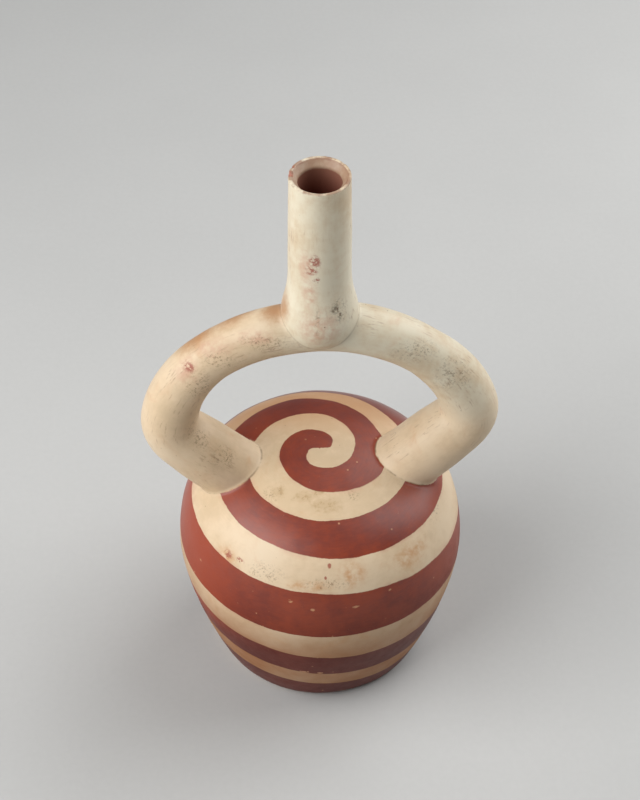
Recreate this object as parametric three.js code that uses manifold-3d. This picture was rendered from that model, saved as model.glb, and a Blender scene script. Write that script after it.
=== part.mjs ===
// Stirrup spout vessel: a hollow, round-shouldered clay jar closed by a dome. A hollow stirrup
// rises from the dome on two legs, and one upright spout stands on the stirrup's crown. It is
// one fired piece, in millimetres with +Z up, and its origin is the middle of the flat base.
// The stirrup lies in the X-Z plane.

import * as THREE from "three";
import { mergeVertices } from "three/addons/utils/BufferGeometryUtils.js";
import Module from "manifold-3d";

// Jar: its outline runs from the base up to the shoulder, and over the dome to the pole
const BODY_RADIUS = 70;
const BODY_HEIGHT = 126.2;
const SHOULDER_HEIGHT = 69.9;
const BASE_RADIUS = 51.7;
const BASE_EDGE_ROUNDING = 4;
const FOOT_RISE = 7.7;
const FOOT_LEAN = THREE.MathUtils.degToRad(32);
const BELLY_DROP = 20.6;
const DOME_RISE = 40;
const DOME_REACH = 48;
const BODY_WALL = 5;
const BASE_WALL = 6;

// Stirrup: an arch bent by hand, so its two elbows differ a little, on two straight leaning legs.
// Each elbow and foot is a distance from the vessel's axis and a height.
const CROWN_HEIGHT = 207.5;
const LEFT_SIDE = { sign: -1, elbow: [70.7, 144.6], foot: [43.1, 116.2], crownReach: 45.6, elbowRise: 30.3 };
const RIGHT_SIDE = { sign: 1, elbow: [71.1, 147.3], foot: [42.3, 117], crownReach: 42.3, elbowRise: 22.4 };
const ELBOW_LEAN = THREE.MathUtils.degToRad(4);
const ELBOW_ROUNDING = 5;
const CROWN_RADIUS = 11.6;
const WAIST_RADIUS = 11.4;
const ELBOW_RADIUS = 14;
const LEG_RADIUS = 15.6;
const FOOT_RADIUS = 16;
const LEG_ROOT = 14;
const STIRRUP_WALL = 4.2;
const BEND_BALL_INSET = 0.25;

// Spout: a slim tube with a thin bevelled lip, on a round collar smoothed down over the crown
const MOUTH_HEIGHT = 292.4;
const MOUTH_RADIUS = 13.3;
const LIP_THICKNESS = 1.3;
const LIP_BEVEL = 3;
const NECK_HEIGHT = 243;
const NECK_RADIUS = 13.9;
const NECK_PULL = 14;
const COLLAR_HEIGHT = 217;
const COLLAR_RADIUS = 17.3;
const COLLAR_PULL = 7;
const COLLAR_BOTTOM = 199.5;
const SPOUT_WALL = 3.8;
const BORE_TAPER = 0.4;
const BORE_SHOULDER = 1;

// Facets around each round form, and steps along each curve of its outline or path
const BODY_SIDES = 56;
const BODY_STEPS = 8;
const CAVITY_SIDES = 36;
const CAVITY_STEPS = 6;
const SPOUT_SIDES = 28;
const SPOUT_STEPS = 6;
const STIRRUP_SIDES = 22;
const ARCH_STEPS = 34;
const BORE_SIDES = 14;
const BORE_STEPS = 22;
const LEG_STEPS = 2;

const SLIP_CREAM = "#d9c7a3";
const FIRED_ROUGHNESS = 0.55;

const wasm = await Module();
wasm.setup();

// A closed geometry as a solid, with its shared vertices merged and its flat faces dropped.
function solidFrom(geometry) {
  const bare = geometry.clone();
  bare.deleteAttribute("normal");
  bare.deleteAttribute("uv");
  const merged = mergeVertices(bare, 1e-4);
  const corners = merged.index.array;
  const kept = [];
  for (let i = 0; i < corners.length; i += 3) {
    const [a, b, c] = corners.slice(i, i + 3);
    if (a !== b && b !== c && c !== a) kept.push(a, b, c);
  }
  const mesh = new wasm.Mesh({
    numProp: 3,
    vertProperties: merged.attributes.position.array,
    triVerts: new Uint32Array(kept),
  });
  return new wasm.Manifold(mesh);
}

// A solid back as a geometry.
function geometryFrom(solid) {
  const mesh = solid.getMesh();
  const geometry = new THREE.BufferGeometry();
  geometry.setAttribute("position", new THREE.BufferAttribute(mesh.vertProperties, 3));
  geometry.setIndex(new THREE.BufferAttribute(mesh.triVerts, 1));
  geometry.computeVertexNormals();
  return geometry;
}

// An outline of radius against height, turned about the Z axis.
function turned(outline, sides, steps) {
  const geometry = new THREE.LatheGeometry(outline.getPoints(steps), sides);
  return solidFrom(geometry.rotateX(Math.PI / 2));
}

// The jar's outline, set in by a wall on its side and its dome and by another at its base.
function jarOutline(wall, baseWall) {
  const radius = BODY_RADIUS - wall;
  const shrink = radius / BODY_RADIUS;
  const pole = BODY_HEIGHT - wall;
  const base = BASE_RADIUS - wall;
  const edge = BASE_EDGE_ROUNDING * shrink;
  const outward = Math.sin(FOOT_LEAN);
  const upward = Math.cos(FOOT_LEAN);
  const outline = new THREE.Path();
  outline.moveTo(0, baseWall);
  outline.lineTo(base - edge, baseWall);
  outline.quadraticCurveTo(base, baseWall, base + edge * outward, baseWall + edge * upward);
  outline.bezierCurveTo(
    base + FOOT_RISE * outward,
    baseWall + FOOT_RISE * upward,
    radius,
    SHOULDER_HEIGHT - BELLY_DROP * shrink,
    radius,
    SHOULDER_HEIGHT,
  );
  outline.bezierCurveTo(radius, SHOULDER_HEIGHT + DOME_RISE * shrink, DOME_REACH * shrink, pole, 0, pole);
  return outline;
}

// The spout's outline, from the collar's round bottom inside the crown up to the lip.
function spoutOutline() {
  const outline = new THREE.Path();
  outline.absellipse(
    0,
    COLLAR_HEIGHT,
    COLLAR_RADIUS,
    COLLAR_HEIGHT - COLLAR_BOTTOM,
    -Math.PI / 2,
    0,
    false,
  );
  outline.bezierCurveTo(
    COLLAR_RADIUS,
    COLLAR_HEIGHT + COLLAR_PULL,
    NECK_RADIUS,
    NECK_HEIGHT - NECK_PULL,
    NECK_RADIUS,
    NECK_HEIGHT,
  );
  outline.lineTo(MOUTH_RADIUS, MOUTH_HEIGHT - LIP_THICKNESS / 2);
  outline.lineTo(MOUTH_RADIUS - LIP_THICKNESS / 3, MOUTH_HEIGHT);
  outline.lineTo(0, MOUTH_HEIGHT);
  return outline;
}

// The way down through the spout: the lip's bevel, then a bore that narrows into the crown.
function spoutBoreOutline() {
  const bore = MOUTH_RADIUS - SPOUT_WALL;
  const lip = MOUTH_RADIUS - LIP_THICKNESS;
  const aboveMouth = MOUTH_HEIGHT + LIP_BEVEL;
  const outline = new THREE.Path();
  outline.moveTo(0, CROWN_HEIGHT);
  outline.lineTo(CROWN_RADIUS - STIRRUP_WALL - BORE_SHOULDER, CROWN_HEIGHT);
  outline.lineTo(bore - BORE_TAPER, NECK_HEIGHT);
  outline.lineTo(bore, MOUTH_HEIGHT - LIP_BEVEL);
  outline.lineTo(lip, MOUTH_HEIGHT);
  outline.lineTo(lip, aboveMouth);
  outline.lineTo(0, aboveMouth);
  return outline;
}

// A point of one side of the stirrup's middle line.
function sidePoint(side, [outward, height]) {
  return new THREE.Vector3(side.sign * outward, 0, height);
}

// The two handles that bend one half of the arch, by the crown and by the elbow.
function archHandles(side) {
  const [outward, height] = side.elbow;
  const rise = [
    outward + side.elbowRise * Math.sin(ELBOW_LEAN),
    height + side.elbowRise * Math.cos(ELBOW_LEAN),
  ];
  return [sidePoint(side, [side.crownReach, CROWN_HEIGHT]), sidePoint(side, rise)];
}

// The arch's middle line, from the left elbow over the crown to the right elbow.
function archPath() {
  const crown = new THREE.Vector3(0, 0, CROWN_HEIGHT);
  const [leftCrown, leftElbow] = archHandles(LEFT_SIDE);
  const [rightCrown, rightElbow] = archHandles(RIGHT_SIDE);
  const path = new THREE.CurvePath();
  const leftEnd = sidePoint(LEFT_SIDE, LEFT_SIDE.elbow);
  const rightEnd = sidePoint(RIGHT_SIDE, RIGHT_SIDE.elbow);
  path.add(new THREE.CubicBezierCurve3(leftEnd, leftElbow, leftCrown, crown));
  path.add(new THREE.CubicBezierCurve3(crown, rightCrown, rightElbow, rightEnd));
  return path;
}

// A radius that goes from one size to another half way along, and on to a third.
function radiusThrough(share, start, middle, end) {
  if (share < 0.5) return THREE.MathUtils.lerp(start, middle, share * 2);
  return THREE.MathUtils.lerp(middle, end, share * 2 - 1);
}

// The arch's outer radius part of the way along: slimmest at the waists beside the crown.
function archRadius(path, along) {
  const [crownAt, end] = path.getCurveLengths();
  const distance = along * end;
  const fromCrown = distance < crownAt ? 1 - distance / crownAt : (distance - crownAt) / (end - crownAt);
  return radiusThrough(fromCrown, CROWN_RADIUS, WAIST_RADIUS, ELBOW_RADIUS);
}

// A straight cylinder bent along a stretch of a path in the X-Z plane, with its radius given along the way.
function bentTube(path, radiusAt, sides, steps, from = 0, to = 1) {
  const across = new THREE.Vector3(0, -1, 0);
  const tube = new THREE.CylinderGeometry(1, 1, 1, sides, steps);
  const places = tube.attributes.position;
  for (let i = 0; i < places.count; i += 1) {
    const share = THREE.MathUtils.clamp(places.getY(i) + 0.5, 0, 1);
    const along = THREE.MathUtils.lerp(from, to, share);
    const radius = radiusAt(along);
    const inPlane = path.getTangent(along).cross(across);
    const place = path
      .getPoint(along)
      .addScaledVector(inPlane, radius * places.getX(i))
      .addScaledVector(across, radius * places.getZ(i));
    places.setXYZ(i, place.x, place.y, place.z);
  }
  return solidFrom(tube);
}

// A ball that fills the outside of a bend between two tubes, set a little below their surface.
function bendBall(place, radius, sides) {
  const ball = new THREE.SphereGeometry(radius - BEND_BALL_INSET, sides, sides / 2);
  return solidFrom(ball.translate(place.x, place.y, place.z));
}

// One leg, running on into the jar by its root, and the short bend that joins it to the arch's end.
function legTube(side, archEnd, archEndRadius, wall, sides) {
  const corner = sidePoint(side, side.elbow);
  const foot = sidePoint(side, side.foot);
  const length = corner.distanceTo(foot);
  const reach = (length + LEG_ROOT) / length;
  const path = new THREE.LineCurve3(corner, corner.clone().lerp(foot, reach));
  const radiusAt = (along) => radiusThrough(along * reach, ELBOW_RADIUS, LEG_RADIUS, FOOT_RADIUS) - wall;
  const legStart = ELBOW_ROUNDING / (length + LEG_ROOT);
  const legEnd = path.getPoint(legStart);
  const legEndRadius = radiusAt(legStart);
  const bendRadius = (along) => THREE.MathUtils.lerp(archEndRadius, legEndRadius, along);
  return bentTube(path, radiusAt, sides, LEG_STEPS, legStart)
    .add(bentTube(new THREE.LineCurve3(archEnd, legEnd), bendRadius, sides, 1))
    .add(bendBall(archEnd, archEndRadius, sides))
    .add(bendBall(legEnd, legEndRadius, sides));
}

// The whole stirrup, or its bore, set in by a wall.
function stirrup(wall, sides, steps) {
  const path = archPath();
  const radiusAt = (along) => archRadius(path, along) - wall;
  const left = ELBOW_ROUNDING / path.getLength();
  const right = 1 - left;
  return bentTube(path, radiusAt, sides, steps, left, right)
    .add(legTube(LEFT_SIDE, path.getPoint(left), radiusAt(left), wall, sides))
    .add(legTube(RIGHT_SIDE, path.getPoint(right), radiusAt(right), wall, sides));
}

const outside = turned(jarOutline(0, 0), BODY_SIDES, BODY_STEPS)
  .add(stirrup(0, STIRRUP_SIDES, ARCH_STEPS))
  .add(turned(spoutOutline(), SPOUT_SIDES, SPOUT_STEPS));
const inside = turned(jarOutline(BODY_WALL, BASE_WALL), CAVITY_SIDES, CAVITY_STEPS)
  .add(stirrup(STIRRUP_WALL, BORE_SIDES, BORE_STEPS))
  .add(turned(spoutBoreOutline(), SPOUT_SIDES, SPOUT_STEPS));

const clay = new THREE.MeshStandardMaterial({ color: SLIP_CREAM, roughness: FIRED_ROUGHNESS, metalness: 0 });
const vessel = new THREE.Mesh(geometryFrom(outside.subtract(inside)), clay);
vessel.name = "stirrup_spout_vessel";

const part = new THREE.Group();
part.add(vessel);

export default part;
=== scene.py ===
"""Stirrup spout vessel: the fired clay vessel's fine surface, its slip paint and a plain stage."""

import math

import bpy
import numpy as np
from bpy.props import FloatProperty, FloatVectorProperty, PointerProperty
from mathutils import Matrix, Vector, noise


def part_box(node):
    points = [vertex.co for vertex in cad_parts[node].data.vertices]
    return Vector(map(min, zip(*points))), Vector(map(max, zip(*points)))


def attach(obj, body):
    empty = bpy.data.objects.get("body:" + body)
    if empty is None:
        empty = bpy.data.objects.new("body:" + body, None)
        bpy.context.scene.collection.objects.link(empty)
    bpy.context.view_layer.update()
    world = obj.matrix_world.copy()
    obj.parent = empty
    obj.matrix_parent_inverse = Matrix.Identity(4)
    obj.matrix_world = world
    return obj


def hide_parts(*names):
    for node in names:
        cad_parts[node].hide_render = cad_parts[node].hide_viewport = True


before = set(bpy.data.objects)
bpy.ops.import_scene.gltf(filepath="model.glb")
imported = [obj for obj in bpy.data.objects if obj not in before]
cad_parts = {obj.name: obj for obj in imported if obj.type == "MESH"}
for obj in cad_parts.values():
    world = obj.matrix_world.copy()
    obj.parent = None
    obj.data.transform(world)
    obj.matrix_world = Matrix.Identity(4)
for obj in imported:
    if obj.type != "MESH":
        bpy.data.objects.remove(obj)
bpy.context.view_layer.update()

bl_info = {
    "name": "Stirrup Spout Vessel",
    "version": (1, 0, 0),
    "blender": (4, 5, 0),
    "location": "3D View > Sidebar > Vessel",
    "description": "Forms a hollow clay vessel with a stirrup and a spout, and paints its spiral",
    "category": "Add Mesh",
}

# The frame that the vessel fills
NODE = "stirrup_spout_vessel"
BODY = "root"
MM = 0.001
LOW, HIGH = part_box(NODE)

# The stirrup's two sides: which way each lies, its elbow and foot, and the handles that bend its arch
LEFT_SIDE = {
    "sign": -1, "elbow": (70.7, 144.6), "foot": (43.1, 116.2), "crown_reach": 45.6, "elbow_rise": 30.3,
}
RIGHT_SIDE = {
    "sign": 1, "elbow": (71.1, 147.3), "foot": (42.3, 117.0), "crown_reach": 42.3, "elbow_rise": 22.4,
}
ELBOW_LEAN = math.radians(4)

# The bore's narrowing half way down the spout and where it meets the stirrup
BORE_TAPER = 0.4 * MM
THROAT_STEP = 1 * MM

# The painted spiral's two edges: unwound azimuth in degrees, and millimetres along the jar from its crown
RED_BEGINS = (
    (-270, 0.8), (-212, 2), (-194, 4), (-180, 5.5), (-165, 6.2), (-150, 7.8), (-120, 10), (-90, 11.3),
    (-45, 13.6), (0, 16.5), (45, 20.6), (90, 26.5), (150, 32), (210, 37.6), (270, 40.7), (330, 43.4),
    (405, 46.6), (450, 51.6), (540, 70.2), (585, 73.4), (630, 75.8), (660, 78.9), (705, 85.2),
    (930, 115.5), (990, 122.6), (1350, 156.2), (1710, 186),
)
RED_ENDS = (
    (90, 0.8), (30, 2), (15, 4), (15, 5.4), (30, 6.9), (45, 9.2), (75, 12), (120, 16.2), (165, 18.6),
    (210, 20.6), (240, 23), (300, 28.1), (330, 31.8), (390, 32.8), (420, 36.2), (465, 44), (510, 48.4),
    (570, 54), (600, 55.6), (645, 60), (690, 63.2), (720, 65.5), (915, 98.4), (960, 101.4),
    (1020, 104.4), (1053, 106.8), (1350, 142.2), (1710, 177), (2070, 208),
)
FULL_TURN = 360.0
PITCH = 35 * MM

# Marks of age, each as the middle and the reach of a blot, in millimetres
RED_WEAR = (
    ((-2.8, -13.5, 256.5), (3.4, 5, 5)), ((-4.4, -13.2, 251.5), (3.6, 5, 3.2)),
    ((-2.4, -13.6, 246.6), (2.2, 5, 2)), ((-59.5, -8.0, 192.5), (4.2, 5, 3)),
    ((-45.4, -42.7, 102.2), (3, 4, 2.2)), ((-40, -47.5, 103), (2.6, 3, 1.4)),
)
RED_SPOTS = (
    ((1.5, -57.3, 108.5), (1.1, 2, 1.4)), ((-0.5, -60.8, 104.1), (0.8, 2, 1.0)),
    ((-12.7, 1.8, 291.8), (2.4, 2.8, 2.2)), ((-11.2, 6.6, 292.2), (1.5, 1.5, 1.2)),
)
PINK_HALO = (
    ((-6.5, -12.4, 252), (5, 6, 13)), ((-5.0, -13.0, 238), (5, 6, 11)), ((-1, -16, 221), (13, 8, 14)),
    ((-46, -6, 202), (20, 7, 7)), ((-60, -8, 190), (9, 8, 11)), ((-30, -9, 210), (14, 5, 5)),
)
TAN_WASH = (
    ((-56, 4, 200), (20, 11, 14)), ((-38, 6, 209), (22, 11, 9)), ((-20, 2, 217), (11, 12, 8)),
    ((-17, -4, 224), (6, 10, 12)),
)
SPECKLE = (
    ((-26, -10.4, 208), (17, 6, 5)), ((-45, -10.6, 198), (13, 6, 7)), ((-55, -11.5, 182), (9, 6, 15)),
    ((-56, -10, 150), (10, 7, 14)), ((-46, -11, 135), (10, 7, 9)), ((44, -9.7, 199), (20, 7, 8)),
    ((60, -9.5, 184), (14, 7, 14)), ((52, -25, 108), (7, 9, 7)), ((0, -63, 101.5), (16, 5, 3.5)),
    ((7.5, -13, 228), (7, 5, 11)), ((-1.9, -16, 224), (2, 5, 12)), ((40, -20, 118), (8, 5, 4)),
    ((13.9, -27.4, 123.1), (5, 4, 3)), ((-24, -24, 122.5), (7, 6, 4)), ((-30, -56, 103), (16, 8, 6)),
)
GREY_STAIN = (((6.0, -13.8, 229.6), (2.8, 4, 4.2)), ((8.0, -13.6, 225.4), (1.8, 4, 2.8)))
YELLOW_DIRT = (
    ((-9, -27.5, 123.3), (7, 5, 3)), ((1, -32.2, 122.4), (10, 6, 3)), ((-2, -25.5, 123.9), (7, 4, 3)),
    ((-21, -23, 122.9), (5, 5, 3)),
)
RUST_STAIN = (
    ((12, -60, 104), (10, 9, 10)), ((40, -46, 102), (18, 14, 7)), ((-8, -62, 100.5), (16, 6, 3.5)),
    ((-46, -42, 101), (9, 8, 6)),
)
PALE_CHIPS = (
    ((-6.9, -67.2, 88.8), (1.3, 3, 0.8)), ((13.3, -66.4, 88.6), (2.0, 3, 0.8)),
    ((-17.1, -64.3, 92.4), (1.3, 3, 0.9)), ((-3.0, -63.4, 33.6), (1.7, 3, 1.2)),
    ((-11.0, -62.6, 34.0), (2.8, 3, 1.5)), ((30, -60.5, 92), (1.4, 3, 0.8)),
    ((-62, -27.5, 96), (1.0, 2, 0.8)), ((-59, -33.5, 88), (0.9, 2, 0.6)),
)
SEAM_GAP = (((-42, -18, 120), (14, 5, 5)),)

# The lattice that the surface is found on, and how it closes in on the slim spout
CELL = 1.7 * MM
LIP_CELL = 0.6 * MM
LIP_ZONE = 14 * MM
LATTICE_MARGIN = 3 * MM
SQUEEZE_FROM = 224 * MM
SQUEEZE_TO = 262 * MM
SQUEEZE = 0.34

# The tables of distances: their step, the heights that the stirrup's spans and the lines they measure to
TABLE_STEP = 0.4 * MM
STIRRUP_FROM = 90 * MM
STIRRUP_OVER = 20 * MM
LINE_STEP = 1 * MM
OUTLINE_STEPS = 48

# The finish of the surface: rounded edges, evened faces and the waves that hand work leaves above the base
EDGE_BLEND = 0.3 * MM
SLOPE_STEP = 0.1 * MM
LEAST_SLOPE = 1e-10
RELAX_ROUNDS = 6
RELAX_SHARE = 0.6
BASE_FADE = 3 * MM
BROAD_WAVE = 38
FINE_WAVE = 120
FINE_WAVE_SHIFT = (7, 3, 1)

# Chips in the lip: azimuth in degrees, depth below the lip and radius
LIP_CHIPS = ((172, 0.2 * MM, 1.5 * MM), (150, -0.3 * MM, 0.9 * MM), (38, -0.4 * MM, 0.9 * MM))

# The clay's plain shine, the fineness of its strokes and the strength and depth of its grain
SHINE = 0.12
STROKE_FINENESS = 1000
GRAIN_STRENGTH = 0.25
GRAIN_DEPTH = 0.3 * MM

# The stage in metres: the floor's half width and the soft lights' widths and places
FLOOR_REACH = 3.0
KEY_SIZE = 1.1
KEY_PLACE = (-0.87, -0.34, 0.80)
BACK_SIZE = 1.25
BACK_PLACE = (0.76, 0.40, 0.88)
LIGHT_TARGET = (0, 0, 0.12)

# The width in millimetres of the sensor that the focal length goes with
SENSOR_WIDTH = 36.0

# A lattice cell's corners and the pairs of them that its edges join
CORNERS = [(i, j, k) for i in (0, 1) for j in (0, 1) for k in (0, 1)]
CELL_EDGES = [
    (a, b) for a in range(8) for b in range(a + 1, 8)
    if sum(abs(p - q) for p, q in zip(CORNERS[a], CORNERS[b])) == 1
]


def screen(red, green, blue):
    """A colour given as it looks on a screen, from 0 to 255, as linear light."""
    def linear(value):
        part = value / 255
        return part / 12.92 if part <= 0.04045 else ((part + 0.055) / 1.055) ** 2.4
    return linear(red), linear(green), linear(blue)


def length(name, description, default):
    return FloatProperty(name=name, description=description, default=default, unit="LENGTH", precision=4)


def tint(name, description, default):
    return FloatVectorProperty(name=name, description=description, default=default, subtype="COLOR", size=3)


class JarSizes(bpy.types.PropertyGroup):
    """The round jar under the stirrup."""

    radius: length("Radius", "Half the jar's width at its shoulder", HIGH[1])
    height: length("Height", "Height of the dome's crown", 126.2 * MM)
    shoulder: length("Shoulder", "Height of the widest part", 69.9 * MM)
    base: length("Base", "Radius of the flat base", 51.7 * MM)
    edge: length("Base edge", "Rounding where the wall meets the base", 4 * MM)
    foot_rise: length("Foot rise", "Straight run of wall above the base", 7.7 * MM)
    foot_lean: FloatProperty(name="Foot lean", description="Lean of the wall at the base",
                             default=math.radians(32), subtype="ANGLE")
    belly_drop: length("Belly drop", "Upright run of wall below the shoulder", 20.6 * MM)
    dome_rise: length("Dome rise", "Upright run of wall above the shoulder", 40 * MM)
    dome_reach: length("Dome reach", "Level run of the dome about its crown", 48 * MM)
    wall: length("Wall", "Thickness of the side and the dome", 5 * MM)
    floor: length("Floor", "Thickness of the base", 6 * MM)


class StirrupSizes(bpy.types.PropertyGroup):
    """The hollow stirrup and the spout on its crown."""

    crown: length("Crown", "Height of the arch's middle line at its crown", 207.5 * MM)
    crown_radius: length("Crown radius", "Arch's radius at its crown", 11.6 * MM)
    waist_radius: length("Waist radius", "Arch's radius half way down each side", 11.4 * MM)
    elbow_radius: length("Elbow radius", "Radius where the arch meets a leg", 14 * MM)
    elbow_rounding: length("Elbow rounding", "Reach of the bend at each elbow", 8 * MM)
    leg_radius: length("Leg radius", "Leg's radius half way down", 15.6 * MM)
    foot_radius: length("Foot radius", "Leg's radius where it meets the dome", 16 * MM)
    leg_root: length("Leg root", "How far a leg runs on into the jar", 14 * MM)
    wall: length("Wall", "Thickness of the stirrup's wall", 4.2 * MM)
    mouth: length("Mouth", "Height of the spout's lip", HIGH[2])
    mouth_radius: length("Mouth radius", "Spout's radius at its lip", 13.3 * MM)
    lip: length("Lip", "Thickness of the lip", 1.3 * MM)
    bevel: length("Bevel", "Depth of the bevel inside the lip", 3 * MM)
    neck: length("Neck", "Height where the spout begins to flare", 243 * MM)
    neck_radius: length("Neck radius", "Spout's radius there", 13.9 * MM)
    neck_pull: length("Neck pull", "Upright run below the neck", 14 * MM)
    collar: length("Collar", "Height of the collar's widest part", 217 * MM)
    collar_radius: length("Collar radius", "Collar's radius there", 17.3 * MM)
    collar_pull: length("Collar pull", "Upright run above the collar", 7 * MM)
    collar_bottom: length("Collar bottom", "Height of the collar's round bottom", 199.5 * MM)
    spout_wall: length("Spout wall", "Thickness of the spout's wall", 3.8 * MM)
    foot_blend: length("Foot blend", "Clay smoothed into the corner at each foot", 1.0 * MM)
    collar_blend: length("Collar blend", "Clay smoothed into the corner under the collar", 0.9 * MM)
    unevenness: length("Unevenness", "How far hand work leaves the surface from true", 0.3 * MM)


class PaintFinish(bpy.types.PropertyGroup):
    """The slips, the bare clay and their wear, and the painted light and shade laid on them."""

    cream: tint("Cream slip", "Pale slip on the spout and the stirrup", screen(226, 216, 192))
    # Also painted shade, laid over the dome
    cream_deep: tint("Aged cream", "Cream slip where it has yellowed", screen(206, 182, 148))
    # Also painted warm light where it lies on the left side
    peach: tint("Warm cream", "Cream slip on the jar and the stirrup's legs", screen(224, 198, 165))
    tan: tint("Thin cream", "Cream slip where it is thin and warm", screen(182, 138, 100))
    # Browning near the base, laid partly as painted shade there
    fired: tint("Fired cream", "Cream slip browned in firing near the base", screen(158, 106, 68))
    red: tint("Red slip", "Burnished red slip of the spiral", screen(150, 66, 42))
    # Also painted shade deep down the bore
    red_deep: tint("Thick red slip", "Red slip where it lies thick", screen(116, 48, 36))
    # Painted light: the red on the jar's sides where the key light falls
    lit_sides_red: tint("Bright red slip", "Red slip where it is thin, on either side", screen(160, 62, 28))
    # Darkening near the base, laid partly as painted shade there; also used towards the back of the jar
    red_dark: tint("Dark red slip", "Red slip darkened near the base", screen(84, 36, 29))
    # Also painted shade on the cream bevel inside the lip
    clay: tint("Bare clay", "Fired clay where no slip covers it", screen(142, 100, 78))
    bore: tint("Bore", "Clay just inside the spout", screen(136, 92, 76))
    rose: tint("Thin slip", "Cream slip worn thin over red clay", screen(206, 160, 134))
    wear: tint("Worn red", "Red clay where the cream slip has flaked off", screen(160, 84, 68))
    chip: tint("Flaked slip", "Pale clay where the red slip has flaked off", screen(204, 152, 112))
    dirt: tint("Dirt", "Brown dirt in the pores", screen(112, 82, 56))
    ochre: tint("Yellow dirt", "Yellow-brown dirt on the dome", screen(160, 124, 72))
    soot: tint("Dark stain", "Grey-brown stain", screen(104, 88, 68))
    rust: tint("Rust stain", "Orange stain on the cream slip", screen(198, 138, 84))
    cream_gloss: FloatProperty(name="Cream roughness", description="Roughness of the cream slip",
                               default=0.5, subtype="FACTOR", min=0, max=1)
    red_gloss: FloatProperty(name="Red roughness", description="Roughness of the burnished red slip",
                             default=0.4, subtype="FACTOR", min=0, max=1)


class StageLook(bpy.types.PropertyGroup):
    """The floor, the lights and the camera."""

    floor: tint("Floor", "Colour of the pale floor", screen(188, 188, 186))
    sky: tint("Surroundings", "Colour of the soft light all round", screen(196, 198, 202))
    sky_strength: FloatProperty(name="Surroundings strength",
                                description="Strength of the light all round", default=0.18)
    key_power: FloatProperty(name="Key power", description="Power of the soft light in front",
                             default=17.0, unit="POWER")
    back_power: FloatProperty(name="Back power", description="Power of the soft light behind",
                              default=15.5, unit="POWER")
    camera_yaw: FloatProperty(name="Camera yaw",
                              description="How far the camera stands to the left of the front",
                              default=math.radians(2.9), subtype="ANGLE")
    camera_distance: length("Camera distance", "From the camera to what it looks at", 840 * MM)
    camera_target: length("Camera target", "Height that the camera looks at", 160.05 * MM)
    camera_pitch: FloatProperty(name="Camera pitch", description="How steeply the camera looks down",
                                default=math.radians(45.29), subtype="ANGLE")
    focal: FloatProperty(name="Focal length", description="Focal length in millimetres", default=101.25)


class Table:
    """Values on a grid of two lengths, read in between by blending the four nearest."""

    def __init__(self, low, high, function):
        self.low = low
        counts = [int(math.ceil((b - a) / TABLE_STEP)) + 2 for a, b in zip(low, high)]
        axes = [a + np.arange(count) * TABLE_STEP for a, count in zip(low, counts)]
        first, second = np.meshgrid(*axes, indexing="ij")
        self.values = [channel.reshape(first.shape) for channel in function(first.ravel(), second.ravel())]

    def read(self, first, second):
        """Each channel's values at points of the two lengths."""
        shape = self.values[0].shape
        u = np.clip((first - self.low[0]) / TABLE_STEP, 0, shape[0] - 1.001)
        v = np.clip((second - self.low[1]) / TABLE_STEP, 0, shape[1] - 1.001)
        i = u.astype(int)
        j = v.astype(int)
        u = u - i
        v = v - j
        blended = []
        for t in self.values:
            near = t[i, j] * (1 - u) + t[i + 1, j] * u
            far = t[i, j + 1] * (1 - u) + t[i + 1, j + 1] * u
            blended.append(near * (1 - v) + far * v)
        return blended


def bezier(start, start_handle, end_handle, end):
    """Points of a cubic curve, with its start left out."""
    t = np.linspace(0, 1, OUTLINE_STEPS + 1)[1:, None]
    points = [np.array(point) for point in (start, start_handle, end_handle, end)]
    weights = [(1 - t) ** 3, 3 * (1 - t) ** 2 * t, 3 * (1 - t) * t ** 2, t ** 3]
    return sum(weight * point for weight, point in zip(weights, points))


def runs_along(line):
    """How far along a line each of its points lies."""
    return np.concatenate([[0], np.cumsum(np.hypot(*np.diff(line, axis=0).T))])


def nearest_on_line(u, v, line):
    """Distance of each point to a line of many short pieces, and how far along it the nearest place is."""
    best = np.full(u.shape, np.inf)
    along = np.zeros(u.shape)
    run = 0.0
    for (u0, v0), (u1, v1) in zip(line[:-1], line[1:]):
        du, dv = u1 - u0, v1 - v0
        size = math.hypot(du, dv)
        t = np.clip(((u - u0) * du + (v - v0) * dv) / size ** 2, 0, 1)
        gap = np.hypot(u - u0 - t * du, v - v0 - t * dv)
        nearer = gap < best
        best[nearer] = gap[nearer]
        along[nearer] = run + t[nearer] * size
        run += size
    return best, along


def is_within(u, v, line):
    """Whether each point lies in the outline that a line closes."""
    within = np.zeros(u.shape, bool)
    ends = np.roll(line, -1, axis=0)
    for (u0, v0), (u1, v1) in zip(line, ends):
        if v0 != v1:
            crosses = ((v0 > v) != (v1 > v)) & (u < (u1 - u0) * (v - v0) / (v1 - v0) + u0)
            within ^= crosses
    return within


def turned_table(outline):
    """Signed distance to an outline turned about Z, and the distance along it from its last point."""
    total = runs_along(outline)[-1]

    def measure(radius, height):
        gap, along = nearest_on_line(radius, height, outline)
        return np.where(is_within(radius, height, outline), -gap, gap), total - along

    reach = (HIGH[0] + LATTICE_MARGIN) * math.sqrt(2)
    return Table((0, -2 * LATTICE_MARGIN), (reach, HIGH[2] + 2 * LATTICE_MARGIN), measure)


def jar_outline(jar, wall, floor):
    """The jar's outline from the middle of its base to its crown, set in by its wall and its floor."""
    radius = jar.radius - wall
    shrink = radius / jar.radius
    crown = jar.height - wall
    base = jar.base - wall
    edge = jar.edge * shrink
    outward, upward = math.sin(jar.foot_lean), math.cos(jar.foot_lean)
    corner = (base, floor)
    wall_start = (base + edge * outward, floor + edge * upward)
    wall_handle = (base + jar.foot_rise * outward, floor + jar.foot_rise * upward)
    shoulder = (radius, jar.shoulder)
    below = (radius, jar.shoulder - jar.belly_drop * shrink)
    above = (radius, jar.shoulder + jar.dome_rise * shrink)
    return np.vstack([
        [(0, floor), (base - edge, floor)],
        bezier((base - edge, floor), corner, corner, wall_start),
        bezier(wall_start, wall_handle, below, shoulder),
        bezier(shoulder, above, (jar.dome_reach * shrink, crown), (0, crown)),
    ])


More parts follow.
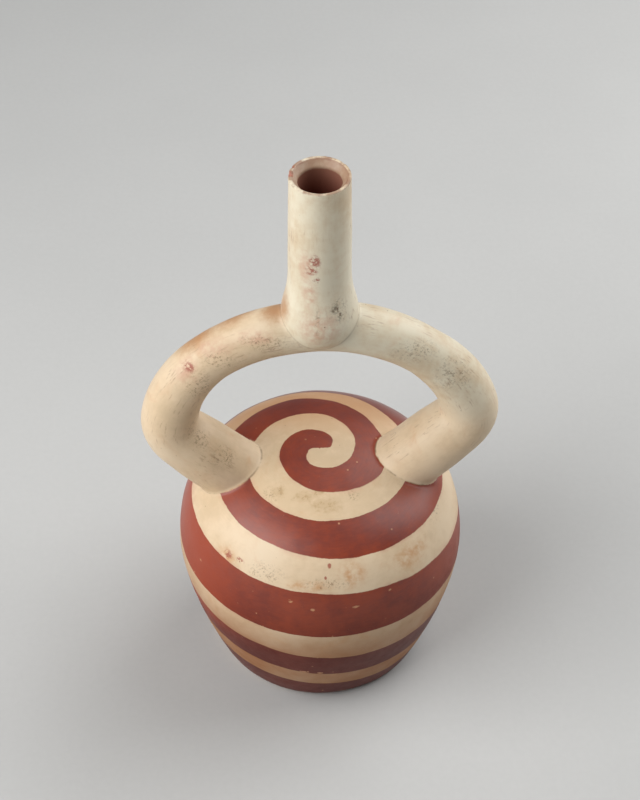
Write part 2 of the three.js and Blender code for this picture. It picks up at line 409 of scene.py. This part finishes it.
def spout_outline(sizes):
    """The spout's outline from the collar's round bottom up to its lip."""
    turn = np.linspace(-math.pi / 2, 0, OUTLINE_STEPS)
    depth = sizes.collar - sizes.collar_bottom
    bowl = np.column_stack([sizes.collar_radius * np.cos(turn), sizes.collar + depth * np.sin(turn)])
    neck = bezier(
        (sizes.collar_radius, sizes.collar),
        (sizes.collar_radius, sizes.collar + sizes.collar_pull),
        (sizes.neck_radius, sizes.neck - sizes.neck_pull),
        (sizes.neck_radius, sizes.neck),
    )
    lip = [
        (sizes.mouth_radius, sizes.mouth - sizes.lip / 3),
        (sizes.mouth_radius - sizes.lip / 6, sizes.mouth),
        (0, sizes.mouth),
    ]
    return np.vstack([bowl, neck, lip])


def bore_outline(sizes):
    """The way down through the spout, from inside the crown up past the lip's bevel."""
    bore = sizes.mouth_radius - sizes.spout_wall
    lip = sizes.mouth_radius - sizes.lip
    above = sizes.mouth + sizes.bevel
    throat = sizes.crown_radius - sizes.wall - THROAT_STEP
    return np.array([
        (0, sizes.crown),
        (throat, sizes.crown),
        (bore - BORE_TAPER, sizes.neck),
        (bore, sizes.mouth - sizes.bevel),
        (lip, sizes.mouth),
        (lip, above),
        (0, above),
    ])


def side_point(side, outward, height):
    return side["sign"] * outward * MM, height * MM


def stirrup_half(side, sizes):
    """One half of the stirrup's middle line, from the crown to the root in the jar, and its radii."""
    outward, height = side["elbow"]
    rise = side["elbow_rise"]
    lean_out, lean_up = rise * math.sin(ELBOW_LEAN), rise * math.cos(ELBOW_LEAN)
    above = side_point(side, outward + lean_out, height + lean_up)
    crown = (0, sizes.crown)
    crown_handle = side_point(side, side["crown_reach"], sizes.crown / MM)
    elbow = np.array(side_point(side, outward, height))
    foot = np.array(side_point(side, *side["foot"]))
    leg_run = np.linalg.norm(foot - elbow)
    root = foot + (foot - elbow) * sizes.leg_root / leg_run
    arch = np.vstack([[crown], bezier(crown, crown_handle, above, elbow)])
    line = np.vstack([arch, [root]])
    runs = runs_along(line)
    arch_run = runs[-2]
    even = np.arange(0, runs[-1], LINE_STEP)
    line = np.column_stack([np.interp(even, runs, line[:, axis]) for axis in (0, 1)])
    stations = (0, arch_run / 2, arch_run, arch_run + leg_run / 2, arch_run + leg_run)
    radii = (sizes.crown_radius, sizes.waist_radius, sizes.elbow_radius, sizes.leg_radius, sizes.foot_radius)
    half = int(round(sizes.elbow_rounding / LINE_STEP))
    window = np.ones(2 * half + 1) / (2 * half + 1)
    padded = np.pad(line, ((half, half), (0, 0)), mode="reflect", reflect_type="odd")
    line = np.column_stack([np.convolve(padded[:, axis], window, mode="valid") for axis in (0, 1)])
    return line, np.interp(even, stations, radii)


def stirrup_table(sizes):
    """Distance in the stirrup's plane to its middle line, its radius there and how far along that is."""
    left, left_radii = stirrup_half(LEFT_SIDE, sizes)
    right, right_radii = stirrup_half(RIGHT_SIDE, sizes)
    line = np.vstack([left[::-1], right[1:]])
    radii = np.concatenate([left_radii[::-1], right_radii[1:]])
    runs = runs_along(line)

    def measure(x, z):
        gap, along = nearest_on_line(x, z, line)
        return gap, np.interp(along, runs, radii), along

    low = (LOW[0] - LATTICE_MARGIN, STIRRUP_FROM)
    high = (HIGH[0] + LATTICE_MARGIN, sizes.collar + STIRRUP_OVER)
    return Table(low, high, measure)


def smooth_min(a, b, blend):
    """The smaller of two distances, with clay smoothed into the corner between them."""
    share = np.clip(0.5 + 0.5 * (b - a) / blend, 0, 1)
    return b * (1 - share) + a * share - blend * share * (1 - share)


class Form:
    """The vessel's shape as signed distances: below zero is clay."""

    def __init__(self, jar, sizes):
        self.sizes = sizes
        self.jar_outside = turned_table(jar_outline(jar, 0, 0))
        self.jar_inside = turned_table(jar_outline(jar, jar.wall, jar.floor))
        self.spout_outside = turned_table(spout_outline(sizes))
        self.spout_inside = turned_table(bore_outline(sizes))
        self.stirrup = stirrup_table(sizes)

    def parts(self, points):
        """Distances from outside to the jar, to the stirrup and to the spout."""
        x, y, z = points.T
        radius = np.hypot(x, y)
        gap, thick, _ = self.stirrup.read(x, z)
        jar = self.jar_outside.read(radius, z)[0]
        spout = self.spout_outside.read(radius, z)[0]
        return jar, np.hypot(gap, y) - thick, spout

    def outside(self, jar, stirrup, spout):
        """Distance to the three joined, with clay smoothed into their corners."""
        handle = smooth_min(stirrup, spout, self.sizes.collar_blend)
        return smooth_min(jar, handle, self.sizes.foot_blend)

    def hollow(self, points, stirrup):
        """Distance to the empty space inside: the jar, the stirrup's tube and the spout's bore."""
        x, y, z = points.T
        radius = np.hypot(x, y)
        cavity = np.minimum(self.jar_inside.read(radius, z)[0], stirrup + self.sizes.wall)
        return np.minimum(cavity, self.spout_inside.read(radius, z)[0])

    def distance(self, points):
        """Signed distance to the whole clay wall."""
        jar, stirrup, spout = self.parts(points)
        clay = -smooth_min(-self.outside(jar, stirrup, spout), self.hollow(points, stirrup), EDGE_BLEND)
        lip = self.sizes.mouth_radius - self.sizes.lip / 2
        for azimuth, depth, size in LIP_CHIPS:
            turn = math.radians(azimuth)
            centre = np.array((lip * math.cos(turn), lip * math.sin(turn), self.sizes.mouth - depth))
            clay = -smooth_min(-clay, np.linalg.norm(points - centre, axis=1) - size, EDGE_BLEND)
        return clay

    def slope(self, points, values):
        """Direction in which the distance grows fastest."""
        steps = [self.distance(points + SLOPE_STEP * axis) - values for axis in np.eye(3)]
        slope = np.column_stack(steps)
        return slope / np.maximum(np.linalg.norm(slope, axis=1, keepdims=True), LEAST_SLOPE)


def lattice():
    """Places of a lattice around the vessel that narrows towards the slim spout."""
    def lines(low, high):
        return np.arange(low - LATTICE_MARGIN, high + LATTICE_MARGIN + CELL, CELL)

    fine_from = HIGH[2] - LIP_ZONE
    coarse = np.arange(-1.5 * CELL, fine_from, CELL)
    fine = np.arange(coarse[-1] + LIP_CELL, HIGH[2] + 3 * LIP_CELL, LIP_CELL)
    z = np.concatenate([coarse, fine])
    part = np.clip((z - SQUEEZE_FROM) / (SQUEEZE_TO - SQUEEZE_FROM), 0, 1)
    squeeze = 1 - (1 - SQUEEZE) * part * part * (3 - 2 * part)
    x, y, z = np.meshgrid(lines(LOW[0], HIGH[0]), lines(LOW[1], HIGH[1]), z, indexing="ij")
    return np.stack([x * squeeze, y * squeeze, z], axis=-1)


def surface_from(places, values):
    """Four-sided faces over the surface where the lattice's values change sign."""
    filled = values < 0
    cells = tuple(size - 1 for size in values.shape)
    corner_cut = [tuple(slice(o, o + n) for o, n in zip(corner, cells)) for corner in CORNERS]
    count = sum(filled[cut].astype(np.int8) for cut in corner_cut)
    active = (count > 0) & (count < 8)
    number = np.full(cells, -1)
    number[active] = np.arange(active.sum())
    corner_values = np.stack([values[cut][active] for cut in corner_cut], axis=1)
    corner_places = np.stack([places[cut][active] for cut in corner_cut], axis=1)
    total = np.zeros((active.sum(), 3))
    hits = np.zeros(active.sum())
    for a, b in CELL_EDGES:
        cut = (corner_values[:, a] < 0) != (corner_values[:, b] < 0)
        va, vb = corner_values[cut, a], corner_values[cut, b]
        t = (va / (va - vb))[:, None]
        total[cut] += corner_places[cut, a] * (1 - t) + corner_places[cut, b] * t
        hits[cut] += 1
    points = total / hits[:, None]
    faces = []
    for axis in range(3):
        one, two = [other for other in range(3) if other != axis]
        near = [slice(None)] * 3
        far = [slice(None)] * 3
        near[axis], far[axis] = slice(0, -1), slice(1, None)
        for other in (one, two):
            near[other] = far[other] = slice(1, -1)
        starts, ends = filled[tuple(near)], filled[tuple(far)]
        where = np.argwhere(starts != ends)
        leaving = starts[tuple(where.T)]
        ring = []
        for back_one, back_two in ((1, 1), (0, 1), (0, 0), (1, 0)):
            cell = where.copy()
            cell[:, one] += 1 - back_one
            cell[:, two] += 1 - back_two
            ring.append(number[tuple(cell.T)])
        quads = np.column_stack(ring)
        flip = leaving if axis == 1 else ~leaving
        quads[flip] = quads[flip][:, ::-1]
        faces.append(quads)
    return points, np.vstack(faces)


def relaxed(form, points, faces):
    """The same surface with its faces evened out and its points set on the true form."""
    ends = np.vstack([faces[:, [k, (k + 1) % 4]] for k in range(4)])
    counts = np.bincount(ends.ravel(), minlength=len(points))[:, None]
    for _ in range(RELAX_ROUNDS):
        middle = np.zeros_like(points)
        for axis in range(3):
            middle[:, axis] = (
                np.bincount(ends[:, 0], points[ends[:, 1], axis], len(points))
                + np.bincount(ends[:, 1], points[ends[:, 0], axis], len(points))
            )
        drift = RELAX_SHARE * (middle / counts - points)
        values = form.distance(points)
        slope = form.slope(points, values)
        drift -= slope * (drift * slope).sum(axis=1, keepdims=True)
        points = points + drift
        values = form.distance(points)
        points = points - form.slope(points, values) * values[:, None]
    return points


def hand_work(form, points):
    """How far each point stands off the true form, where hands shaped and burnished the clay."""
    stray = np.empty(len(points))
    for index, point in enumerate(points):
        place = Vector(point)
        broad = noise.noise(place * BROAD_WAVE)
        fine = noise.noise(place * FINE_WAVE + Vector(FINE_WAVE_SHIFT))
        stray[index] = 0.8 * broad + 0.3 * fine
    return form.sizes.unevenness * stray


def store(mesh, name, values):
    attribute = mesh.attributes.new(name, "FLOAT", "POINT")
    attribute.data.foreach_set("value", np.ascontiguousarray(values, np.float32))


def vessel_mesh(form):
    """The vessel's surface as a mesh, with what its paint needs to know at each point."""
    places = lattice()
    values = form.distance(places.reshape(-1, 3)).reshape(places.shape[:3])
    points, faces = surface_from(places, values)
    points = relaxed(form, points, faces)
    jar, stirrup, spout = form.parts(points)
    outside = form.outside(jar, stirrup, spout)
    hollow = form.hollow(points, stirrup)
    outer = np.abs(outside) < np.abs(hollow)
    true_slope = form.slope(points, form.distance(points))
    above_base = np.clip(points[:, 2] / BASE_FADE, 0, 1)
    stray = hand_work(form, points) * outer * above_base
    x, y, z = points.T
    crown_distance = form.jar_outside.read(np.hypot(x, y), z)[1]
    gap, _, run = form.stirrup.read(x, z)
    points = np.clip(points + true_slope * stray[:, None], LOW, HIGH)
    mesh = bpy.data.meshes.new("painted_vessel")
    mesh.from_pydata(points.tolist(), [], faces.tolist())
    mesh.shade_smooth()
    store(mesh, "crown_distance", crown_distance)
    store(mesh, "jar_edge", np.minimum(stirrup, spout) - jar)
    store(mesh, "spout_edge", stirrup - spout)
    store(mesh, "bore_edge", np.abs(outside) - np.abs(hollow))
    store(mesh, "stirrup_run", run)
    store(mesh, "stirrup_gap", gap)
    return mesh


class Shade:
    """A socket of a material's nodes that Python's operators work on."""

    def __init__(self, tree, socket=None):
        self.tree = tree
        self.socket = socket

    def node(self, kind, settings=None, inputs=None, output=0):
        """Any node: its settings are set first, then the values or links of its sockets."""
        made = self.tree.nodes.new(kind)
        for name, value in (settings or {}).items():
            setattr(made, name, value)
        for name, value in (inputs or {}).items():
            if isinstance(value, Shade):
                self.tree.links.new(value.socket, made.inputs[name])
            else:
                made.inputs[name].default_value = value
        return Shade(self.tree, made.outputs[output])

    def maths(self, operation, first, second):
        """One Math node, or one Vector Math node where this socket carries a vector."""
        kind = "ShaderNodeVectorMath" if self.socket.type == "VECTOR" else "ShaderNodeMath"
        return self.node(kind, {"operation": operation}, {0: first, 1: second})

    def __add__(self, other):
        return self.maths("ADD", self, other)

    def __radd__(self, other):
        return self.maths("ADD", other, self)

    def __sub__(self, other):
        return self.maths("SUBTRACT", self, other)

    def __rsub__(self, other):
        return self.maths("SUBTRACT", other, self)

    def __mul__(self, other):
        return self.maths("MULTIPLY", self, other)

    def __rmul__(self, other):
        return self.maths("MULTIPLY", other, self)

    def __truediv__(self, other):
        return self.maths("DIVIDE", self, other)

    def __abs__(self):
        return self.node("ShaderNodeMath", {"operation": "ABSOLUTE"}, {0: self})

    def fraction(self):
        return self.node("ShaderNodeMath", {"operation": "FRACT"}, {0: self})

    def most(self, other):
        return self.maths("MAXIMUM", self, other)

    def rise(self, low, high):
        """From 0 to 1, smoothly, as this value goes from low to high."""
        limits = {"From Min": low, "From Max": high, "To Min": 0.0, "To Max": 1.0}
        settings = {"interpolation_type": "SMOOTHSTEP", "clamp": True}
        return self.node("ShaderNodeMapRange", settings, {"Value": self, **limits})

    def blend(self, first, second):
        """A colour between two others, with this value as the share of the second."""
        paints = [value if isinstance(value, Shade) else (*value, 1.0) for value in (first, second)]
        settings = {"data_type": "RGBA", "blend_type": "MIX", "clamp_factor": True}
        return self.node("ShaderNodeMix", settings, {0: self, 6: paints[0], 7: paints[1]}, 2)

    def noise(self, scale, detail=3.0, roughness=0.55, distortion=0.0):
        """Cloudy noise about this place, from 0 to 1."""
        inputs = {"Vector": self, "Scale": scale, "Detail": detail}
        inputs.update({"Roughness": roughness, "Distortion": distortion})
        return self.node("ShaderNodeTexNoise", {"noise_dimensions": "3D"}, inputs, "Fac")

    def cells(self, scale):
        """Distance from the nearest of many scattered points about this place."""
        inputs = {"Vector": self, "Scale": scale}
        return self.node("ShaderNodeTexVoronoi", {"feature": "F1"}, inputs, "Distance")

    def ramp(self, low, high):
        """From 0 to 1, evenly, as this value goes from low to high."""
        limits = {"From Min": low, "From Max": high, "To Min": 0.0, "To Max": 1.0}
        return self.node("ShaderNodeMapRange", {"clamp": True}, {"Value": self, **limits})

    def size(self):
        return self.node("ShaderNodeVectorMath", {"operation": "LENGTH"}, {0: self}, "Value")

    def vector(self, x, y, z):
        return self.node("ShaderNodeCombineXYZ", None, {"X": x, "Y": y, "Z": z})

    def attribute(self, name):
        return self.node("ShaderNodeAttribute", {"attribute_name": name}, None, "Fac")

    def apart(self, axis):
        return self.node("ShaderNodeSeparateXYZ", None, {"Vector": self}, axis)


def new_material(name):
    """An empty material, its shader and a first value to grow its nodes from."""
    material = bpy.data.materials.new(name)
    material.use_nodes = True
    shader = material.node_tree.nodes["Principled BSDF"]
    return material, shader, Shade(material.node_tree)


def feed(shader, name, value):
    value.tree.links.new(value.socket, shader.inputs[name])


def unwound(distance, edge):
    """The unwound turns of one of the spiral's edges at a distance from the crown."""
    turns = edge[0][0] / FULL_TURN
    for (start, near), (end, far) in zip(edge[:-1], edge[1:]):
        turns = distance.ramp(near * MM, far * MM) * ((end - start) / FULL_TURN) + turns
    return turns


def spiral_edge(place):
    """Distance into the spiral's red turns from their edge, below zero on the cream ones."""
    x, y = place.apart("X"), place.apart("Y")
    azimuth = y.maths("ARCTAN2", y, x) / math.tau
    wobble = (place.noise(80, 1.0) - 0.5) * (1.1 * MM) + (place.noise(500, 2.0) - 0.5) * (0.5 * MM)
    distance = place.attribute("crown_distance") + wobble
    begins = unwound(distance, RED_BEGINS)
    share = begins + 1 - unwound(distance, RED_ENDS)
    off_middle = abs((begins - azimuth - share * 0.5 + 0.5).fraction() - 0.5)
    return (share * 0.5 - off_middle) * PITCH


def blots(place, marks, ragged, core=0.55):
    """1 on the marks and 0 away from them, full out to the core's share of the reach, with ragged edges."""
    jitter = (place.noise(420, 3.0, 0.7) - 0.5) * ragged
    cover = 0.0
    for middle, reach in marks:
        offset = (place - tuple(part * MM for part in middle)) / tuple(part * MM for part in reach)
        cover = (1 - (offset.size() + jitter).rise(core, 1.0)).most(cover)
    return cover


def strokes(place, fineness):
    """Streaks left by wiping and burnishing: around the jar, along the stirrup and up the spout."""
    x, y, z = (place.apart(axis) for axis in "XYZ")
    jar = place.vector(x * 0.2, y * 0.2, place.attribute("crown_distance")).noise(fineness, 3.0, 0.6)
    gap = place.attribute("stirrup_gap")
    stirrup = place.vector(place.attribute("stirrup_run") * 0.15, y, gap).noise(fineness, 3.0, 0.6)
    spout = place.vector(x, y, z * 0.15).noise(fineness, 3.0, 0.6)
    on_spout = place.attribute("spout_edge").rise(-1 * MM, 1 * MM)
    on_jar = place.attribute("jar_edge").rise(-1 * MM, 1 * MM)
    handle = stirrup + (spout - stirrup) * on_spout
    return handle + (jar - handle) * on_jar


class ClaySurface:
    """Where each finish and mark lies on the vessel, for its colours, its roughness and its grain."""

    def __init__(self, start):
        place = start.node("ShaderNodeTexCoord", None, None, "Object")
        self.place = place
        self.height = place.apart("Z")
        self.cloud = place.noise(30, 5.0, 0.6)
        self.fine = place.noise(230, 4.0, 0.6)
        self.broken = place.noise(380, 4.0, 0.75)
        self.flecks = place.noise(850, 3.0, 0.75)
        self.streak = strokes(place, STROKE_FINENESS)
        self.find_regions(place)
        self.find_marks(place)
        self.find_seams(place)
        self.find_bare_clay(place)

    def find_regions(self, place):
        """The jar, the spout, the spiral's red turns, and the vessel's low, far and left sides: low for the
        slips' browning and painted shade, left for painted light.
        """
        self.jar_edge = place.attribute("jar_edge")
        self.on_jar = self.jar_edge.rise(-1 * MM, 1 * MM)
        self.on_spout = place.attribute("spout_edge").rise(-1 * MM, 1 * MM)
        self.paint_edge = spiral_edge(place)
        brushed = (self.jar_edge + (place.noise(300, 2.0) - 0.5) * (1.2 * MM)).rise(-0.3 * MM, 0.5 * MM)
        self.red = self.paint_edge.rise(-0.25 * MM, 0.3 * MM) * brushed
        # Low on the jar the cream browns and the red darkens, partly as the slips' own browning and partly as
        # painted shade
        self.low = (1 - self.height.rise(40 * MM, 98 * MM)) * self.on_jar
        # Towards the back of the jar, most on its crown, the cream turns tan and the red darker
        crowning = self.height.rise(96 * MM, 114 * MM)
        self.behind = place.apart("Y").rise(-2 * MM, 40 * MM) * (0.3 + crowning * 0.7) * self.on_jar
        # The left side, where the key light falls: painted warm light on the cream and painted light on the
        # red
        self.left = 1 - place.apart("X").rise(-40 * MM, 5 * MM)

    def find_marks(self, place):
        """Soiled and speckled patches, dots of dirt, worn places and flaked red slip."""
        self.soiled = blots(place, SPECKLE, 0.8, 0.1) * self.broken.rise(0.36, 0.56)
        self.speckle = self.soiled * self.flecks.rise(0.5, 0.6)
        self.dots = (1 - place.cells(150).rise(0.03, 0.06)) * place.noise(70, 2.0).rise(0.45, 0.6)
        wear = blots(place, RED_WEAR, 1.0, 0.3) * (self.broken * 0.5 + self.flecks * 0.5).rise(0.45, 0.52)
        self.wear = wear.most(blots(place, RED_SPOTS, 0.8))
        flakes = (1 - place.cells(170).rise(0.05, 0.11)) * place.noise(90, 2.0).rise(0.5, 0.62)
        flakes = flakes.most(blots(place, PALE_CHIPS, 1.6) * self.broken.rise(0.4, 0.5))
        self.flakes = flakes.most(self.broken.rise(0.68, 0.74) * 0.4)

    def find_seams(self, place):
        """The creases at the feet and under the spout, and the dirt in them."""
        self.foot_seam = 1 - abs(self.jar_edge).rise(0, 0.8 * MM)
        spout_seam = (1 - abs(place.attribute("spout_edge")).rise(0, 0.7 * MM)) * (1 - self.on_jar)
        self.grime = self.foot_seam * place.noise(140, 3.0).rise(0.42, 0.62) + spout_seam * 0.35

    def find_bare_clay(self, place):
        """The depth below the lip, the spout's inside and where no slip covers it."""
        self.below_lip = (HIGH[2] - self.height) + (place.noise(120, 3.0) - 0.5) * (2 * MM)
        ragged = (place.noise(260, 2.0) - 0.5) * (0.4 * MM)
        self.inside = (place.attribute("bore_edge") + ragged).rise(0, 0.3 * MM)
        self.bare = self.inside * self.below_lip.rise(3.2 * MM, 4.4 * MM)


def cream_slip(clay, paint):
    """Cream slip: pale above, warmer on the legs and on the left side, the left as painted warm light,
    darkened on the dome as painted shade, and browner near the base, partly as painted shade.
    """
    place, cloud = clay.place, clay.cloud
    legs = 1 - clay.height.rise(140 * MM, 180 * MM)
    # Warmer cream on the left side is painted warm light; on the jar and the legs it is the slip's own warmer
    # tone
    warm = clay.left.most(legs) * (1 - clay.on_spout) * (0.4 + cloud)
    colour = warm.blend(paint.cream, paint.peach)
    # The dome is darkened as painted shade, on top of the cream's yellowed mottling
    dome = clay.height.rise(110 * MM, 124 * MM) * clay.on_jar
    yellowed_and_dome_shade = (cloud * 0.65 + clay.fine * 0.25 + clay.streak * 0.1 + dome * 0.1).rise(0.42, 0.66)
    colour = (yellowed_and_dome_shade * 0.8).blend(colour, paint.cream_deep)
    thin = (1 - abs(clay.paint_edge).rise(0, 3 * MM)) * place.noise(60, 3.0).rise(0.45, 0.65) * clay.on_jar
    colour = (thin * 0.45).blend(colour, paint.rose)
    # Tan on the wash blots and towards the back of the jar
    washed = blots(place, TAN_WASH, 0.5, 0.15).most(clay.behind)
    colour = (washed * (0.6 + cloud * 0.6)).blend(colour, paint.tan)
    # Browner cream near the base: partly the slip's own browning, partly painted shade
    return (clay.low * (0.5 + cloud * 0.7)).blend(colour, paint.fired)


def stained(clay, paint, colour):
    """The cream slip with its stains, specks, hairlines and worn places."""
    place, fine = clay.place, clay.fine
    pink = blots(place, PINK_HALO, 0.8, 0.1) * fine.rise(0.3, 0.62)
    colour = (pink * 0.7).blend(colour, paint.rose)
    colour = (place.noise(48, 4.0, 0.65, 0.6).rise(0.56, 0.8) * 0.35).blend(colour, paint.rust)
    rusty = blots(place, RUST_STAIN, 0.8, 0.1) * fine.rise(0.3, 0.7)
    colour = (rusty * 0.7).blend(colour, paint.rust)
    yellow = blots(place, YELLOW_DIRT, 1.2, 0.1) * (0.2 + clay.broken.rise(0.46, 0.62) * 0.35)
    colour = yellow.blend(colour, paint.ochre)
    colour = (clay.speckle * 0.6).blend(colour, paint.dirt)
    scratch = clay.streak.rise(0.57, 0.68)
    hairline = scratch * place.noise(40, 2.0).rise(0.46, 0.62).most(clay.soiled) * (1 - clay.on_jar)
    colour = (hairline * 0.4).blend(colour, paint.clay)
    colour = (clay.dots * 0.7).blend(colour, paint.dirt)
    colour = (clay.wear * 0.85).blend(colour, paint.wear)
    grey = blots(place, GREY_STAIN, 1.2, 0.1) * clay.flecks.rise(0.36, 0.56)
    return (grey * 0.7).blend(colour, paint.soot)


def red_slip(clay, paint):
    """Red slip: darker where it lies thick, towards the back and near the base, there partly as painted
    shade, brighter on the sides as painted light, and flaked to the clay beneath.
    """
    thick = (clay.cloud * 0.6 + clay.fine * 0.25 + clay.streak * 0.15).rise(0.36, 0.66)
    colour = thick.blend(paint.red, paint.red_deep)
    sideways = abs(clay.place.apart("X")).rise(30 * MM, 64 * MM)
    # Painted light: brighter, more orange red on the jar's sides, most on the left where the key light falls
    lit_sides_red = (clay.left * 0.8).most(0.3) * sideways * clay.height.rise(30 * MM, 60 * MM)
    colour = lit_sides_red.blend(colour, paint.lit_sides_red)
    # Darker red low on the jar, partly as painted shade, and darker towards the back
    dark = (clay.low * (1 - lit_sides_red) * 0.75).most(clay.behind * 0.5)
    colour = dark.blend(colour, paint.red_dark)
    return (clay.flakes * 0.75).blend(colour, paint.chip)


def with_worn_edges(clay, paint, colour):
    """The slips with the base's edge rubbed pale, dirt in the seams and the seam open at one foot."""
    place = clay.place
    rubbed = (1 - abs(clay.height - 2 * MM).rise(0.3 * MM, 0.9 * MM)) * place.noise(200, 2.0).rise(0.36, 0.56)
    colour = (rubbed * clay.on_jar * 0.5).blend(colour, paint.chip)
    colour = (clay.grime * 0.6).blend(colour, paint.dirt)
    crack = clay.foot_seam * blots(place, SEAM_GAP, 0.8) * clay.broken.rise(0.4, 0.55)
    return (crack * 0.8).blend(colour, paint.chip)


def with_bare_clay(clay, paint, colour):
    """The slips with the clay that shows at the lip, in the bore and under the base, and painted shade on the
    bevel and down the bore.
    """
    fine, below_lip = clay.fine, clay.below_lip
    # Painted shade: the cream inside the lip is turned towards bare clay, which shows on the bevel
    colour = (clay.inside * (0.5 + fine * 0.4)).blend(colour, paint.clay)
    # Painted shade: the bore darkens deeper down
    bore = below_lip.rise(4 * MM, 26 * MM).blend(paint.bore, paint.red_deep)
    colour = clay.bare.blend(colour, bore)
    worn_lip = (1 - below_lip.rise(0.1 * MM, 1.0 * MM)) * clay.place.noise(200, 3.0).rise(0.3, 0.55)
    colour = (worn_lip * 0.8).blend(colour, paint.clay)
    under = 1 - clay.height.rise(0.15 * MM, 0.9 * MM)
    return under.blend(colour, fine.blend(paint.clay, paint.tan))


def vessel_material(paint):
    """Cream and red slip on fired clay, burnished above and worn with age, with painted light and shade."""
    material, shader, start = new_material("slip_painted_clay")
    clay = ClaySurface(start)
    red, fine = clay.red, clay.fine
    cream = stained(clay, paint, cream_slip(clay, paint))
    colour = with_worn_edges(clay, paint, red.blend(cream, red_slip(clay, paint)))
    feed(shader, "Base Color", with_bare_clay(clay, paint, colour))

    rough = red * (paint.red_gloss - paint.cream_gloss) + paint.cream_gloss
    rough = rough + (fine - 0.5) * 0.2 + (clay.cloud - 0.5) * 0.15
    rough = rough + clay.bare * 0.3 + clay.speckle * 0.15 + clay.grime * 0.2
    feed(shader, "Roughness", rough)
    burnish = clay.height.rise(66 * MM, 106 * MM) * (0.4 + red * 0.45) * (0.6 + fine * 0.8) * (1 - clay.bare)
    feed(shader, "Coat Weight", burnish)
    shader.inputs["Coat Roughness"].default_value = paint.red_gloss
    shader.inputs["Specular IOR Level"].default_value = SHINE

    grain = clay.place.noise(900, 3.0, 0.6) * 0.4 + fine * 0.6 + clay.streak * 0.35
    relief = grain - clay.dots * 0.5 - clay.speckle * 0.3 - clay.wear * 0.4
    relief = relief - clay.flakes * red * 0.6 + red * 0.15 - clay.grime * 0.8
    inputs = {"Strength": GRAIN_STRENGTH, "Distance": GRAIN_DEPTH, "Height": relief}
    feed(shader, "Normal", clay.place.node("ShaderNodeBump", None, inputs, "Normal"))
    return material


def floor_material(look):
    """A plain pale floor with a faint grain."""
    material, shader, start = new_material("pale_floor")
    place = start.node("ShaderNodeTexCoord", None, None, "Object")
    grain = place.noise(9, 4.0) * 0.6 + place.noise(300, 2.0) * 0.4
    shade = tuple(part * 0.96 for part in look.floor)
    feed(shader, "Base Color", grain.rise(0.3, 0.7).blend(look.floor, shade))
    feed(shader, "Roughness", 0.75 + grain * 0.15)
    return material


class VESSEL_OT_form(bpy.types.Operator):
    """Form the hollow vessel in clay and paint it with its slips"""

    bl_idname = "vessel.form"
    bl_label = "Painted Vessel"

    def execute(self, context):
        scene = context.scene
        mesh = vessel_mesh(Form(scene.vessel_jar, scene.vessel_stirrup))
        mesh.materials.append(vessel_material(scene.vessel_paint))
        vessel = bpy.data.objects.new("painted_vessel", mesh)
        scene.collection.objects.link(vessel)
        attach(vessel, BODY)
        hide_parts(NODE)
        return {"FINISHED"}


def add_light(scene, name, power, size, place):
    """A large square soft light that faces the vessel."""
    data = bpy.data.lights.new(name, "AREA")
    data.energy = power
    data.size = size
    light = bpy.data.objects.new(name, data)
    light.location = place
    light.rotation_euler = (Vector(LIGHT_TARGET) - Vector(place)).to_track_quat("-Z", "Y").to_euler()
    scene.collection.objects.link(light)


class VESSEL_OT_stage(bpy.types.Operator):
    """Lay the pale floor and set the soft lights and the camera"""

    bl_idname = "vessel.stage"
    bl_label = "Stage"

    def execute(self, context):
        scene = context.scene
        look = scene.vessel_stage
        mesh = bpy.data.meshes.new("floor")
        corners = [(x * FLOOR_REACH, y * FLOOR_REACH, 0) for x, y in ((-1, -1), (1, -1), (1, 1), (-1, 1))]
        mesh.from_pydata(corners, [], [(0, 1, 2, 3)])
        mesh.materials.append(floor_material(look))
        floor = bpy.data.objects.new("floor", mesh)
        scene.collection.objects.link(floor)

        add_light(scene, "key", look.key_power, KEY_SIZE, KEY_PLACE)
        add_light(scene, "back", look.back_power, BACK_SIZE, BACK_PLACE)

        world = bpy.data.worlds.new("soft_surroundings")
        world.use_nodes = True
        sky = world.node_tree.nodes["Background"]
        sky.inputs["Color"].default_value = (*look.sky, 1.0)
        sky.inputs["Strength"].default_value = look.sky_strength
        scene.world = world
        scene.view_settings.view_transform = "Standard"

        data = bpy.data.cameras.new("camera")
        data.sensor_fit = "HORIZONTAL"
        data.sensor_width = SENSOR_WIDTH
        data.lens = look.focal
        camera = bpy.data.objects.new("camera", data)
        level = look.camera_distance * math.cos(look.camera_pitch)
        rise = look.camera_distance * math.sin(look.camera_pitch)
        aside, ahead = level * math.sin(look.camera_yaw), level * math.cos(look.camera_yaw)
        target = Vector((0, 0, look.camera_target))
        camera.location = target + Vector((-aside, -ahead, rise))
        camera.rotation_euler = (target - camera.location).to_track_quat("-Z", "Y").to_euler()
        scene.collection.objects.link(camera)
        scene.camera = camera
        return {"FINISHED"}


class VESSEL_PT_panel(bpy.types.Panel):
    """Sizes, slips and stage of the vessel"""

    bl_idname = "VESSEL_PT_panel"
    bl_label = "Stirrup Spout Vessel"
    bl_space_type = "VIEW_3D"
    bl_region_type = "UI"
    bl_category = "Vessel"

    def draw(self, context):
        for operator in (VESSEL_OT_form, VESSEL_OT_stage):
            self.layout.operator(operator.bl_idname)
        for name in GROUPS:
            group = getattr(context.scene, name)
            box = self.layout.box()
            for field in group.__annotations__:
                box.prop(group, field)


GROUPS = {
    "vessel_jar": JarSizes,
    "vessel_stirrup": StirrupSizes,
    "vessel_paint": PaintFinish,
    "vessel_stage": StageLook,
}
CLASSES = (*GROUPS.values(), VESSEL_OT_form, VESSEL_OT_stage, VESSEL_PT_panel)


def register():
    for kind in CLASSES:
        bpy.utils.register_class(kind)
    for name, group in GROUPS.items():
        setattr(bpy.types.Scene, name, PointerProperty(type=group))


def unregister():
    for name in GROUPS:
        delattr(bpy.types.Scene, name)
    for kind in reversed(CLASSES):
        bpy.utils.unregister_class(kind)


def main():
    register()
    bpy.ops.vessel.form()
    bpy.ops.vessel.stage()


if __name__ == "__main__":
    main()
